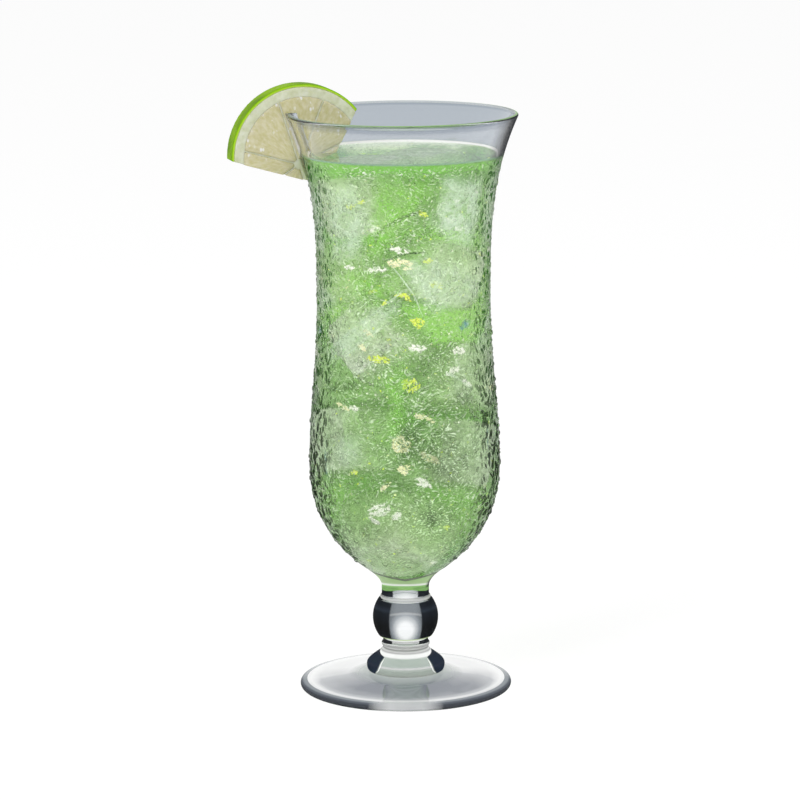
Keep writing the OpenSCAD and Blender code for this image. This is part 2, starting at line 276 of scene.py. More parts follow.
class Net:
    """A material, or a world, under construction: add() makes a node and sets or links its inputs."""

    def __init__(self, name, world=False):
        self.made = (bpy.data.worlds if world else bpy.data.materials).new(name)
        self.made.use_nodes = True
        self.tree = self.made.node_tree
        self.tree.nodes.clear()
        self.output = self.tree.nodes.new("ShaderNodeOutputWorld" if world else "ShaderNodeOutputMaterial")

    def finish(self, surface, volume=None):
        self.tree.links.new(surface, self.output.inputs["Surface"])
        if volume is not None:
            self.tree.links.new(volume, self.output.inputs["Volume"])
        return self.made

    def put(self, socket, value):
        if isinstance(value, bpy.types.NodeSocket):
            self.tree.links.new(value, socket)
        else:
            socket.default_value = value

    def add(self, kind, inputs=None, out=0, **settings):
        node = self.tree.nodes.new("ShaderNode" + kind)
        for key, value in settings.items():
            setattr(node, key, value)
        for key, value in (inputs or {}).items():
            self.put(node.inputs[key], value)
        return node.outputs[out]

    def math(self, operation, *values):
        return self.add("Math", dict(enumerate(values)), operation=operation)

    def times(self, product, *others):
        for other in others:
            product = self.math("MULTIPLY", product, other)
        return product

    def inverse(self, value):
        return self.math("SUBTRACT", 1.0, value)

    def scaled(self, vector, by):
        return self.add("VectorMath", {0: vector, 1: by}, operation="MULTIPLY")

    def ramp(self, factor, stops):
        """A colour ramp. Its stops are (place, colour or grey value)."""
        node = self.tree.nodes.new("ShaderNodeValToRGB")
        points = node.color_ramp.elements
        while len(points) < len(stops):
            points.new(0.5)
        for point, (place, colour) in zip(points, stops):
            point.position = place
            colour = colour if isinstance(colour, tuple) else grey(colour)
            point.color = (*colour[:3], 1.0)
        self.put(node.inputs[0], factor)
        return node.outputs[0]

    def steps(self, value, low, high, stops):
        """A ramp whose places are given in the value's own unit, between low and high."""
        share = self.math("DIVIDE", self.math("SUBTRACT", value, low), high - low)
        return self.ramp(share, [((place - low) / (high - low), colour) for place, colour in stops])

    def blend(self, share, one, other, **settings):
        return self.add("MixRGB", {0: share, 1: one, 2: other}, **settings)

    def mix(self, share, one, other):
        return self.add("MixShader", {0: share, 1: one, 2: other})

    def diffuse(self, colour):
        return self.add("BsdfDiffuse", {"Color": colour})

    def transparent(self, tint=WHITE):
        return self.add("BsdfTransparent", {"Color": tint})

    def rays(self, *kinds):
        """1 for rays of light of these kinds and 0 for others."""
        path = self.tree.nodes.new("ShaderNodeLightPath")
        share = path.outputs[f"Is {kinds[0]} Ray"]
        for kind in kinds[1:]:
            share = self.math("MAXIMUM", share, path.outputs[f"Is {kind} Ray"])
        return share

    def glass(self, surface, tint=WHITE):
        """Finish a glass surface that lets the light for what it holds and stands on straight through."""
        return self.finish(self.mix(self.rays("Shadow", "Diffuse"), surface, self.transparent(tint)))

    def spot(self):
        return self.add("TexCoord", out="Object")

    def leaving(self):
        """1 where light comes out of the piece and 0 where it goes in."""
        return self.add("NewGeometry", out="Backfacing")

    def noise(self, spot, scale, detail, out=0, **more):
        return self.add("TexNoise", {"Vector": spot, "Scale": scale, "Detail": detail, **more}, out)

    def cells(self, spot, scale):
        return self.add("TexVoronoi", {"Vector": spot, "Scale": scale})

    def bump(self, strength, distance, height):
        return self.add("Bump", {"Strength": strength, "Distance": distance, "Height": height})

    def bent(self, spot, scale, by):
        """A spot moved a little way by coarse noise, so that what is drawn with it wavers."""
        moved = self.add("VectorMath", {0: self.noise(spot, scale, 2.0, "Color"), 3: by}, operation="SCALE")
        return self.add("VectorMath", {0: spot, 1: moved})

    def place(self):
        """Object coordinates, the height and the distance from the glass's axis in millimetres, and
        the level direction away from that axis."""
        spot = self.spot()
        height = self.math("DIVIDE", self.add("SeparateXYZ", {0: spot}, out="Z"), MM)
        flat = self.scaled(spot, (1.0, 1.0, 0.0))
        away = self.math("DIVIDE", self.add("VectorMath", {0: flat}, out="Value", operation="LENGTH"), MM)
        return spot, height, away, self.add("VectorMath", {0: flat}, operation="NORMALIZE")

    def facing(self, normal=None):
        return self.add("LayerWeight", {} if normal is None else {"Normal": normal}, out="Facing")

    def cosine(self, direction):
        """The cosine of the angle between a direction and the view."""
        return self.inverse(self.facing(direction))

    def side(self, outward):
        """0 where a round glass faces the viewer and 1 at its outline, from any height of view."""
        square_on = self.cosine(outward)
        upright = self.cosine(self.add("CombineXYZ", {2: 1.0}))
        squared = self.inverse(self.math("POWER", upright, 2.0))
        level = self.math("SQRT", self.math("MAXIMUM", LEAST_LEVEL, squared))
        return self.inverse(self.math("DIVIDE", square_on, level))

    def sine(self, side):
        """The sine that goes with side(): the share of the way out from the middle to the outline."""
        squared = self.times(side, self.math("SUBTRACT", 2.0, side))
        return self.math("SQRT", self.math("MAXIMUM", 0.0, squared))

    def front(self, outward):
        """1 on the side of a round glass that faces the viewer and -1 on its far side, seen from above."""
        leaning = self.add("VectorMath", {0: self.scaled(outward, (LEAN, LEAN, LEAN)), 1: (0.0, 0.0, RISE)})
        leant = self.cosine(leaning)
        upright = self.cosine(self.add("CombineXYZ", {2: 1.0}))
        return self.math("DIVIDE", self.math("MULTIPLY_ADD", upright, -RISE, leant), LEAN)


# ---------------- glass
# The lowest and highest values of the ramps.
BOWL_SPAN, TINT_SPAN, HEEL_SPAN, DRY_SPAN = (40.0, 200.0), (30.0, 210.0), (37.0, 46.0), (190.0, 210.0)
TOP_SPAN, EDGE_SPAN, FRONT_SPAN = (0.0, 40.0), (36.0, 38.5), (-1.0, 1.0)
LIMIT_SPAN, STEM_SPAN, LINE_SPAN = (0.0, 40.0), (5.0, 40.0), (25.0, 35.0)
GLASS_IOR, WATER_IOR = 1.5, 1.33
SHADOW_TINT = grey(0.97)


def clear_glass(net, colour, ior=GLASS_IOR, bump=None):
    inputs = {"Base Color": colour, "Roughness": 0.0, "IOR": ior, "Transmission Weight": 1.0}
    if bump is not None:
        inputs["Normal"] = bump
    return net.add("BsdfPrincipled", inputs)


def wet_bowl():
    """The bowl's outside: a pale green heel with a painted white highlight and a painted grey V line, a belly
    wet with beads of condensation whose steep sides go dark with painted shade, painted black drops near
    the outline and a tint painted darker lower down, and a dry flare that goes dark towards its outline
    with painted shade, but not at the lime."""
    net = Net("glass_bowl")
    spot, height, _, outward = net.place()
    side = net.side(outward)
    wet = net.steps(height, *BOWL_SPAN, [(41.5, 0), (44, 1), (194, 1), (196, 0)])
    bent = net.bent(spot, 90.0, 0.012)
    beads = net.cells(spot, 1250.0)
    brush = net.noise(net.scaled(bent, (900.0, 900.0, 1900.0)), 1.0, 2.0, Roughness=0.6)
    relief = net.math("ADD", net.times(beads, -0.6), brush)
    patches = net.noise(spot, 45.0, 3.0, Roughness=0.6)
    damp = net.times(wet, net.ramp(patches, [(0.4, 0.45), (0.58, 1)]))
    bump = net.bump(net.times(damp, 0.5), 0.0004, relief)
    steep = net.bump(damp, 0.0006, relief)
    milky = net.times(damp, net.ramp(brush, [(0.53, 0), (0.58, 0.35), (0.66, 0.85)]))
    # Painted shade in the glass's tint: darker from the belly down, darker again just below the drink's top,
    # and grey at the lip.
    tint = net.steps(height, *TINT_SPAN, [
        (37.5, rgb(205, 225, 190)), (44, rgb(240, 244, 238)), (47, (0.86, 0.9, 0.8)),
        (50, (0.72, 0.78, 0.64)), (60, (0.6, 0.64, 0.53)), (100, (0.6, 0.7, 0.5)), (150, (1, 1, 0.86)),
        (186, (1, 1, 0.88)), (191, (0.72, 0.82, 0.66)), (195.6, (0.68, 0.78, 0.64)), (196.2, 1), (208, 1),
        (208.6, (0.58, 0.62, 0.66)), (210, (0.66, 0.7, 0.74)),
    ])
    frosted = net.mix(milky, clear_glass(net, tint, bump=bump), net.diffuse(rgb(230, 248, 216)))
    # Painted light and shade on the heel: a grey V line that moves with the view, and a white highlight band
    # where the bowl meets the stem.
    vee = net.math("MULTIPLY_ADD", net.sine(side), -2.3, height)
    heel = net.steps(vee, *HEEL_SPAN, [(41.4, 0.72), (41.7, 0.8), (42.1, 0.8), (42.6, 0)])
    vee_line = net.steps(vee, *HEEL_SPAN, [
        (41.2, rgb(160, 196, 142)), (41.5, rgb(116, 112, 114)), (42.1, rgb(122, 118, 120)),
        (42.6, rgb(150, 180, 130)),
    ])
    ledge = net.math("MULTIPLY_ADD", side, 1.2, height)
    seam_with_highlight = net.steps(ledge, *HEEL_SPAN, [
        (37.5, rgb(132, 184, 104)), (39.1, rgb(140, 190, 112)), (39.3, rgb(246, 248, 244)),
        (39.9, rgb(246, 248, 244)), (40.1, rgb(190, 216, 170)), (40.6, rgb(186, 214, 162)),
    ])
    heel_colour = net.blend(net.math("GREATER_THAN", vee, 41.2), seam_with_highlight, vee_line)
    based = net.mix(heel, frosted, net.diffuse(heel_colour))
    shade = net.ramp(net.facing(steep), [(0.42, 0), (0.58, 0.2), (0.78, 0.66), (1, 1)])
    by_height = net.steps(height, *BOWL_SPAN, [(43, 0.3), (50, 0.5), (85, 0.62), (120, 0.75)])
    shade = net.times(shade, by_height)
    # Painted shade: black drops near the outline, larger lower down, and also just above the heel.
    cells = net.cells(net.scaled(bent, (560.0, 560.0, 300.0)), 1.0)
    outline = net.ramp(side, [(0.26, 0), (0.46, 0.75), (0.7, 1)])
    outline = net.math("MAXIMUM", outline, net.steps(height, *BOWL_SPAN, [(44, 0.4), (47.5, 0)]))
    low_down = net.steps(height, *BOWL_SPAN, [(80, 1), (135, 0.42), (190, 0.3)])
    thick = net.times(outline, net.times(low_down, 0.26))
    black = net.ramp(net.math("SUBTRACT", cells, thick), [(0.24, 0.97), (0.32, 0)])
    black = net.times(black, outline, wet)
    # Painted shade on the dry flare towards its outline, left out on the lime's side.
    lit = net.math("DIVIDE", net.add("SeparateXYZ", {0: outward}), -1.0)
    by_lime = net.ramp(lit, [(0.5, 1), (0.75, 0)])
    flare = net.times(by_lime, net.ramp(side, [(0.42, 0), (0.68, 0.9), (1, 0.98)]))
    amount = net.blend(wet, flare, shade)
    # The colours of the painted shade: green that darkens towards the outline where wet, near black where
    # dry.
    shadow = net.ramp(side, [(0.12, rgb(78, 138, 50)), (0.4, rgb(46, 98, 32)), (0.6, rgb(22, 58, 15))])
    shaded = net.mix(amount, based, net.diffuse(net.blend(wet, rgb(34, 38, 42), shadow)))
    # The colour of the painted black drops: near black low down, dark green higher up.
    dots = net.diffuse(net.steps(height, *BOWL_SPAN, [(95, rgb(18, 30, 18)), (145, rgb(40, 88, 30))]))
    return net.glass(net.mix(black, shaded, dots), SHADOW_TINT)


def dry_bowl():
    """The bowl's inside above the drink: the far wall shows grey as painted shade, and the near wall is clear
    but for a grey band of painted shade below the lip."""
    net = Net("glass_bowl_dry")
    leaving = net.leaving()
    height = net.place()[1]
    near_wall = net.steps(height, *DRY_SPAN, [(206.4, 1), (207.6, (0.46, 0.5, 0.56))])
    tint = net.blend(leaving, rgb(124, 136, 149), near_wall)
    return net.glass(clear_glass(net, tint))


def lip(name, left, right):
    """The lip has painted reflections of the colours round it: one at the lime's side, another across from
    it.
    """
    net = Net(name)
    across = net.add("SeparateXYZ", {0: net.spot()})
    colour = net.steps(net.math("DIVIDE", across, MM), -RIM_R, RIM_R, [(-36, left), (-8, right), (30, right)])
    return net.glass(net.mix(0.6, clear_glass(net, colour), net.diffuse(colour)))


def pressed_foot():
    """The foot: clear and bright, with painted grey shade where it slopes to the viewer, a painted green-grey
    reflection down the middle under the stem, painted grey round the boss, and a dark rounded edge and a grey
    far rim, both painted shade.
    """
    net = Net("glass_foot")
    spot, height, away, outward = net.place()
    side = net.side(outward)
    front = net.front(outward)
    # Painted shade: grey on the slope that faces the viewer, mottled by noise.
    slope = net.steps(away, *TOP_SPAN, [
        (0, 0.1), (14, 0.35), (19, 0.9), (26, 1), (31, 0.85), (34.5, 0.2), (36, 0.3),
    ])
    toward = net.steps(front, *FRONT_SPAN, [(-0.4, 0.14), (0, 0.34), (0.2, 0.6), (0.5, 0.9), (0.9, 1)])
    cloud = net.noise(spot, 60.0, 2.0, Distortion=0.6)
    soft = net.times(slope, toward, net.ramp(cloud, [(0.3, 0.75), (0.7, 1)]))
    tint = net.ramp(soft, [(0, rgb(246, 247, 247)), (0.35, rgb(126, 130, 137)), (0.8, rgb(52, 58, 68))])
    # A painted reflection: green-grey down the middle of the foot as seen, under the stem.
    middle = net.ramp(side, [(0.02, 1), (0.05, 0)])
    tint = net.blend(net.times(middle, net.times(soft, 0.4)), tint, rgb(84, 100, 92))
    clear = clear_glass(net, tint)
    # Painted shade: the dark rounded edge, and a grey line along the far rim.
    edge = net.times(
        net.steps(away, *EDGE_SPAN, [(35.1, 0), (35.7, 1)]),
        net.steps(height, 0.0, FOOT_EDGE, [(3.1, 1), (3.3, 0)]),
        net.ramp(side, [(0.01, 0.1), (0.03, 0.35), (0.07, 0.95), (1, 0.95)]),
        net.steps(front, *FRONT_SPAN, [(-0.7, 0.15), (0.05, 1)]),
    )
    far_rim = net.times(
        net.steps(away, *EDGE_SPAN, [(36.7, 0), (37.2, 0.4)]),
        net.steps(front, *FRONT_SPAN, [(-0.1, 1), (0.3, 0)]),
    )
    entering = net.inverse(net.leaving())
    edge = net.times(net.math("MAXIMUM", edge, far_rim), entering)
    dark = net.diffuse(net.steps(height, 0.0, FOOT_EDGE, [
        (0.5, rgb(38, 42, 48)), (2, rgb(52, 57, 66)), (2.7, rgb(92, 98, 108)), (3, rgb(150, 155, 162)),
    ]))
    # Painted shade: grey round the boss.
    boss = net.times(net.steps(away, *TOP_SPAN, [(13.2, 0.7), (16, 0.5), (21, 0)]), entering)
    clear = net.mix(boss, clear, net.diffuse(rgb(172, 180, 178)))
    return net.glass(net.mix(edge, clear, dark), SHADOW_TINT)


def stem_glass():
    """Pressed glass with painted light and shade: black sides with sharp limits, a grey middle, grey and
    white bands, the drink's green at the top, white lines by the black, and a bright spot and a light line in
    the ball.
    """
    net = Net("glass_stem")
    _, height, _, outward = net.place()
    side = net.side(outward)
    limit = net.steps(height, *LIMIT_SPAN, [
        (0, 0.42), (6.4, 0.42), (8, 0.32), (9.4, 0.29), (12.4, 0.32), (13.6, 1), (16.5, 1), (16.8, 0.2),
        (18.2, 0.2), (18.4, 1), (19.2, 1), (19.5, 0.134), (32.7, 0.134), (33.1, 1), (34.3, 1), (34.6, 0.15),
        (40, 0.15),
    ])
    # Painted shade: black sides, left out at the top, where the drink's green is painted, and low down where
    # the stem is seen from inside.
    black = net.math("MULTIPLY_ADD", net.math("SUBTRACT", side, limit), 40.0, 0.5)
    green_top = net.math("GREATER_THAN", net.math("MULTIPLY_ADD", net.sine(side), 1.8, height), 38.0)
    black = net.times(net.math("MINIMUM", net.math("MAXIMUM", black, 0.0), 1.0), 0.97)
    from_foot = net.times(net.leaving(), net.math("LESS_THAN", height, 16.0))
    black = net.times(black, net.inverse(green_top), net.inverse(from_foot))
    lobe = net.math("POWER", net.math("DIVIDE", net.math("SUBTRACT", height, 23.2), 3.6), 2.0)
    glow = net.math("MULTIPLY_ADD", side, 27.0, lobe)
    spotlit = net.steps(glow, 0.0, 4.0, [
        (0, 1), (0.55, 0.95), (1.4, (0.42, 0.44, 0.46)), (2.6, (0.13, 0.15, 0.17)), (4, (0.05, 0.06, 0.07)),
    ])
    # Painted light and shade on the rings and the bell: grey and white bands, and the drink's green painted
    # near the top.
    bands = net.steps(height, *STEM_SPAN, [
        (5, 0.4), (7.6, (0.33, 0.38, 0.34)), (9, (0.31, 0.36, 0.32)), (9.4, 0.56), (9.9, (0.28, 0.34, 0.3)),
        (12.2, (0.3, 0.37, 0.32)), (12.7, 0.95), (13.4, 0.95), (13.9, 0.3), (14.4, 0.7), (14.9, 0.25),
        (15.4, 0.75), (16, 0.3), (16.6, 0.7), (18, 0.85), (18.6, 1), (18.9, rgb(200, 225, 150)),
        (19.3, rgb(170, 200, 110)), (19.6, 1), (32.8, 1), (33, 0.5), (33.7, 0.8), (34.4, 0.4), (34.8, 1),
        (40, 1),
    ])
    bands = net.blend(green_top, bands, rgb(132, 184, 104))
    in_ball = net.times(net.math("GREATER_THAN", height, 19.4), net.math("LESS_THAN", height, 32.9))
    # A painted highlight: a light line across the ball.
    line = net.steps(net.math("MULTIPLY_ADD", side, 6.0, height), *LINE_SPAN, [
        (28.9, 0), (29.5, 0.14), (30.1, 0),
    ])
    spotlit = net.blend(line, spotlit, WHITE)
    tint = net.blend(in_ball, bands, spotlit)
    tint = net.blend(1.0, tint, (0.97, 0.99, 1.0, 1), blend_type="MULTIPLY")
    clear = clear_glass(net, tint)
    # The colours of the painted black sides.
    dark = net.diffuse(net.steps(height, *STEM_SPAN, [
        (12, rgb(26, 36, 54)), (15, rgb(26, 30, 36)), (24, rgb(24, 25, 26)), (29, rgb(30, 34, 40)),
        (30, rgb(44, 50, 60)), (31.5, rgb(30, 34, 40)),
    ]))
    # How much of the painted bands shows as flat colour over the clear glass.
    milky = net.steps(height, *STEM_SPAN, [
        (7, 0.92), (8.4, 0.7), (9.2, 0.35), (13, 0.35), (14.4, 0.6), (16.4, 0.6), (16.7, 0), (18.3, 0),
        (18.5, 0.7), (19.2, 0.7), (19.5, 0), (32.8, 0), (33.2, 0.5), (34.2, 0.5), (34.5, 0), (40, 0),
    ])
    milky = net.math("MAXIMUM", milky, net.times(green_top, 0.8))
    clear = net.mix(milky, clear, net.diffuse(bands))
    inset = net.math("ABSOLUTE", net.math("ADD", net.math("SUBTRACT", side, limit), 0.03))
    lit_edge = net.math("MAXIMUM", 0.0, net.math("MULTIPLY_ADD", inset, -45.0, 1.0))
    lit_edge = net.times(lit_edge, net.steps(height, *STEM_SPAN, [
        (6.6, 0), (7.4, 0.9), (11, 0.9), (12.4, 0),
    ]))
    clear = net.mix(lit_edge, clear, net.diffuse(WHITE))
    return net.glass(net.mix(black, clear, dark), SHADOW_TINT)


hidden_net = Net("glass_joined")
hidden = hidden_net.finish(hidden_net.transparent())
for name, line, mats in (
    ("bowl", bowl_line, (
        wet_bowl(), lip("glass_lip", rgb(158, 172, 162), rgb(146, 188, 122)), dry_bowl(), hidden,
        lip("glass_lip_inside", rgb(178, 186, 194), rgb(186, 192, 196)),
    )),
    ("stem", stem_line, (stem_glass(), hidden)),
    ("foot", foot_line, (pressed_foot(), hidden)),
):
    piece = new_piece("glass_" + name, *lathe(line), mats)
    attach(piece, "glass")
    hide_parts(name)

# ---------------- ice
BORE_SHARE, EDGE_SMOOTH = 1.29, 1.6
ICE_SIZE, CORNER = (WAIST_R - WALL) / BORE_SHARE, 0.76
ICE_SPOTS = (
    (-0.09, -0.2, 0.88), (0.1, 0.66, 1.89), (0.62, -0.31, 2.04), (-0.69, -0.33, 2.24),
    (-0.25, 0.52, 3.11), (0.61, -0.13, 3.19), (-0.36, -0.52, 3.86), (-0.42, 0.45, 4.87),
    (0.43, -0.3, 4.95), (-0.53, -0.34, 6.1), (0.33, 0.49, 6.1),
)
ICE_TURNS = (
    (25, 10, 135), (-10, -5, 40), (-10, 15, 35), (-15, 5, 25), (-15, 20, 50), (-15, 20, 50),
    (-45, 20, 55), (-10, 90, 30), (0, 20, 40), (-10, -5, 55), (-10, 0, 50),
)
ICE_IOR = 1.09
WAVES, WAVE_DEPTH, WAVE_TURNS = 5, 0.44, 2.6
CUBE_FACES, SINK = 20, 0.05
net = Net("ice_cloudy")
spot = net.spot()
cloud = net.noise(spot, 120.0, 6.0, Roughness=0.7)
stroke = net.scaled(net.bent(spot, 70.0, 0.02), (350.0, 350.0, 1100.0))
strokes = net.noise(stroke, 1.0, 4.0)
milky = net.ramp(net.math("MULTIPLY_ADD", strokes, 0.6, net.times(cloud, 0.5)), [
    (0.46, 0.2), (0.55, 0.42), (0.62, 0.68), (0.72, 0.97),
])
bump = net.bump(0.7, 0.0008, strokes)
clear = clear_glass(net, WHITE, ior=ICE_IOR, bump=bump)
body = net.mix(milky, clear, net.diffuse(rgb(250, 255, 250)))
# Painted shade: a dark olive rim where the ice's outline is seen.
rim = net.ramp(net.facing(), [(0.8, 0), (0.93, 0.4), (1, 0.7)])
ice_material = net.finish(net.mix(rim, body, net.diffuse(rgb(96, 128, 62))))


def cube_grid(n):
    """Corner points and quads of a cube from -1 to 1 with n by n faces on each side."""
    work = bmesh.new()
    bmesh.ops.create_cube(work, size=2.0)
    bmesh.ops.subdivide_edges(work, edges=work.edges, cuts=n - 1, use_grid_fill=True)
    verts = np.array([v.co for v in work.verts])
    faces = [[v.index for v in f.verts] for f in work.faces]
    work.free()
    return verts, faces


cube_verts, cube_faces = cube_grid(CUBE_FACES)
way = cube_verts / np.linalg.norm(cube_verts, axis=1)[:, None]
pockets = []
for i, (spot_share, ice_turn) in enumerate(zip(ICE_SPOTS, ICE_TURNS)):
    to_cube = ICE_SIZE / 2 / np.abs(way).max(axis=1)
    to_ball = np.full(len(way), ICE_SIZE * CORNER)
    reach = -np.log(np.exp(-to_cube * EDGE_SMOOTH) + np.exp(-to_ball * EDGE_SMOOTH)) / EDGE_SMOOTH
    phase = RNG.uniform(0, 6.28, (WAVES, 1))
    waves = RNG.normal(0, WAVE_TURNS, (WAVES, 3))
    reach -= WAVE_DEPTH * (1 + np.sin(way @ waves.T + phase.T)).mean(axis=1)
    turned = np.array(Euler([radians(a) for a in ice_turn], "XYZ").to_matrix())
    middle = np.array([0, 0, WELL_Z]) + ICE_SIZE * np.array(spot_share)
    cube = ((way * reach[:, None]) @ turned.T + middle) * MM
    piece = new_piece(f"ice_{i + 1:02d}", cube, cube_faces, None, (ice_material,))
    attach(piece, "glass")
    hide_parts(f"ice_cube_{i + 1:02d}")
    pockets.append(((way * (reach + SINK)[:, None]) @ turned.T + middle) * MM)

# ---------------- drink
SURFACE, SIDE, MENISCUS_ZONE = 0, 1, 2
SURFACE_R, DRINK_IOR = 20, 1.2
DRINK_COLOUR, DRINK_DENSITY = (0.52, 0.86, 0.14, 1), 36.0
drink_line = zoned([(0, WELL_Z + SINK)], SIDE)
drink_line += zoned([(inner_r(z) - SINK, z) for z in heights(WELL_Z + SINK, contact_z)[1:]], SIDE)
for a in turns(MENISCUS_PARTS, pi / 2)[1:]:
    z = LEVEL_Z + MENISCUS * (1 - sin(a))
    drink_line.append((inner_r(z) - SINK - MENISCUS * (1 - cos(a)), z, MENISCUS_ZONE))
drink_line += zoned([(SURFACE_R, LEVEL_Z), (0, LEVEL_Z)], SURFACE)
verts, faces, zones = lathe(drink_line)
drink = new_piece("drink_liquid", verts, faces)
work = bmesh.new()
work.from_mesh(drink.data)
for pocket in pockets:
    corners = [work.verts.new(tuple(v)) for v in pocket]
    for quad in cube_faces:
        work.faces.new([corners[k] for k in reversed(quad)]).smooth = True
work.to_mesh(drink.data)
work.free()
zones += [SIDE] * (len(drink.data.polygons) - len(zones))
for name, zone in (("open_top", SURFACE), ("meniscus_mark", MENISCUS_ZONE)):
    mark = drink.data.attributes.new(name, "FLOAT", "FACE")
    mark.data.foreach_set("value", [float(z == zone) for z in zones])

net = Net("drink_liquid")
top = net.add("Attribute", out="Fac", attribute_name="open_top")
meniscus_mark = net.add("Attribute", out="Fac", attribute_name="meniscus_mark")
side_wall = net.transparent()
from_inside = net.mix(0.75, side_wall, net.diffuse(rgb(138, 184, 140)))
# A painted highlight: the meniscus is white where it is seen from outside, at the drink's far side.
meniscus_highlight = net.mix(net.leaving(), net.diffuse(grey(0.9)), from_inside)
body = net.mix(top, side_wall, clear_glass(net, WHITE, ior=DRINK_IOR))
drink.data.materials.append(net.finish(
    net.mix(meniscus_mark, body, meniscus_highlight),
    net.add("VolumeAbsorption", {"Color": DRINK_COLOUR, "Density": DRINK_DENSITY}),
))
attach(drink, "glass")
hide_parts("drink")

# ---------------- condensation
# The side of a search cell, how near drops come, as a share of their radii squared, how often each
# is tried, and how deep they go into the glass.
CELL, NEARNESS, TRIES, DROP_SINK = 2.5, 0.72, 12, 0.06


def slope_normal(z):
    """The bowl's outward normal at a height, as (outwards, up)."""
    d = (outer_r(z + 0.2) - outer_r(z - 0.2)) / 0.4
    return np.array([1.0, -d]) / math.hypot(1.0, d)


def drop_places(count, low, high, small, large, power):
    """Angles, heights and sizes of drops that hardly touch."""
    places, grid, tries = [], {}, 0
    while len(places) < count and tries < count * TRIES:
        tries += 1
        z = RNG.uniform(low, high)
        a = RNG.uniform(0, tau)
        size = small + (large - small) * RNG.uniform() ** power
        p = spun(outer_r(z), a, z)
        key = tuple((p // CELL).astype(int))
        near = [
            q for dx in (-1, 0, 1) for dy in (-1, 0, 1) for dz in (-1, 0, 1)
            for q in grid.get((key[0] + dx, key[1] + dy, key[2] + dz), ())
        ]
        if any(np.sum((p - q) ** 2) < (size + s) ** 2 * NEARNESS for q, s in near):
            continue
        grid.setdefault(key, []).append((p, size))
        places.append((a, z, size))
    return places


def drops(name, places, rings, sides, height_share):
    """Domes of water that cling to the outside of the bowl."""
    verts, faces = [], []
    for a, z, size in places:
        outwards, upwards = slope_normal(z)
        n = spun(outwards, a, upwards)
        side = np.array([-sin(a), cos(a), 0.0])
        up = np.cross(n, side)
        base = spun(outer_r(z), a, z) - DROP_SINK * n
        first = len(verts)
        stretch = 1.0 + 0.25 * RNG.uniform(-1, 1)
        top_h = size * height_share * RNG.uniform(0.8, 1.2) + DROP_SINK
        for j in range(rings):
            t = pi / 2 * j / rings
            for k in range(sides):
                b = tau * k / sides
                verts.append(
                    base + n * top_h * sin(t)
                    + size * cos(t) * (side * cos(b) / stretch + up * sin(b) * stretch)
                )
        verts.append(base + n * top_h)
        peak = len(verts) - 1
        for j in range(rings - 1):
            for k in range(sides):
                m = (k + 1) % sides
                faces.append((first + j * sides + k, first + j * sides + m,
                              first + (j + 1) * sides + m, first + (j + 1) * sides + k))
        last = first + (rings - 1) * sides
        for k in range(sides):
            faces.append((last + k, last + (k + 1) % sides, peak))
        faces.append(tuple(first + k for k in range(sides))[::-1])
    return new_piece(name, np.array(verts) * MM, faces, [len(f) == sides for f in faces], (water, hidden))


net = Net("water_beads")
clear = clear_glass(net, WHITE, ior=WATER_IOR)
# Painted shade: the beads go dark green towards their outlines.
rimmed = net.ramp(net.facing(), [(0.35, 0), (0.62, 0.55), (0.85, 0.95)])
water = net.finish(net.mix(rimmed, clear, net.diffuse(rgb(26, 48, 24))))
# Name, then how many, from and to which height, smallest and largest size and the power that favours
# small ones, then the rings, sides and height of each dome.
for name, spread, dome in (
    ("dew_fine", (6000, 50, 192, 0.2, 0.5, 2.0), (2, 7, 0.45)),
    ("dew_beads", (1300, 48, 190, 0.5, 1.2, 3.0), (4, 10, 0.42)),
):
    piece = drops(name, drop_places(*spread), *dome)
    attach(piece, "glass")

# ---------------- glints and bubbles, painted highlights that glow a little
# Angle round the axis, height, half width, half height, tilt, tone.
GLINTS = (
    (280, 139, 1.8, 1.1, -20, "Y"), (253, 126, 2.9, 0.9, -8, "Y"), (274, 117, 1.6, 2.4, 70, "Y"),
    (279, 130, 2.2, 0.9, -10, "W"), (268, 96, 2.4, 2.2, -40, "C"), (253, 72, 3.1, 1.5, 20, "W"),
    (268, 160, 3.3, 1.3, -10, "C"), (267, 165, 2.2, 0.7, -15, "W"), (293, 152, 1.6, 0.9, -20, "Y"),
    (287, 161, 1.1, 0.5, 0, "Y"), (252, 172, 1.8, 1.1, -10, "W"), (302, 175, 1.1, 0.7, 20, "W"),
    (251, 158, 2.5, 0.5, 5, "W"), (230, 158, 1.6, 0.5, 5, "W"), (322, 184, 0.9, 0.5, 0, "W"),
    (307, 182, 0.9, 0.4, -10, "W"), (310, 172, 1.3, 0.7, -20, "W"), (283, 178, 1.5, 0.5, -25, "Y"),
    (234, 180, 1.3, 0.5, 10, "Y"), (242, 182, 0.9, 0.4, 20, "Y"), (268, 149, 1.5, 0.4, 5, "Y"),
    (273, 148, 0.9, 0.5, -40, "Y"), (256, 146, 0.9, 0.5, 40, "Y"), (249, 150, 0.9, 0.4, 10, "Y"),
    (245, 135, 1.6, 0.5, -30, "C"), (240, 130, 1.3, 0.5, -35, "C"), (283, 105, 2.5, 0.7, -20, "C"),
    (286, 91, 2.9, 0.9, -25, "C"), (282, 82, 2.2, 1.1, -30, "W"), (270, 87, 1.5, 1.3, 0, "C"),
    (304, 121, 2.4, 0.9, 20, "W"), (310, 128, 2.0, 0.9, -15, "W"), (316, 116, 1.6, 0.5, -35, "W"),
    (258, 81, 1.5, 0.4, 40, "C"), (249, 68, 1.6, 0.5, -30, "W"), (265, 70, 1.1, 0.9, 0, "W"),
    (226, 108, 2.2, 0.5, -15, "C"), (235, 108, 1.5, 0.5, 0, "W"), (237, 85, 0.9, 0.4, 0, "Y"),
    (301, 65, 0.7, 0.4, -20, "Y"), (305, 51, 1.1, 0.4, -20, "W"),
)
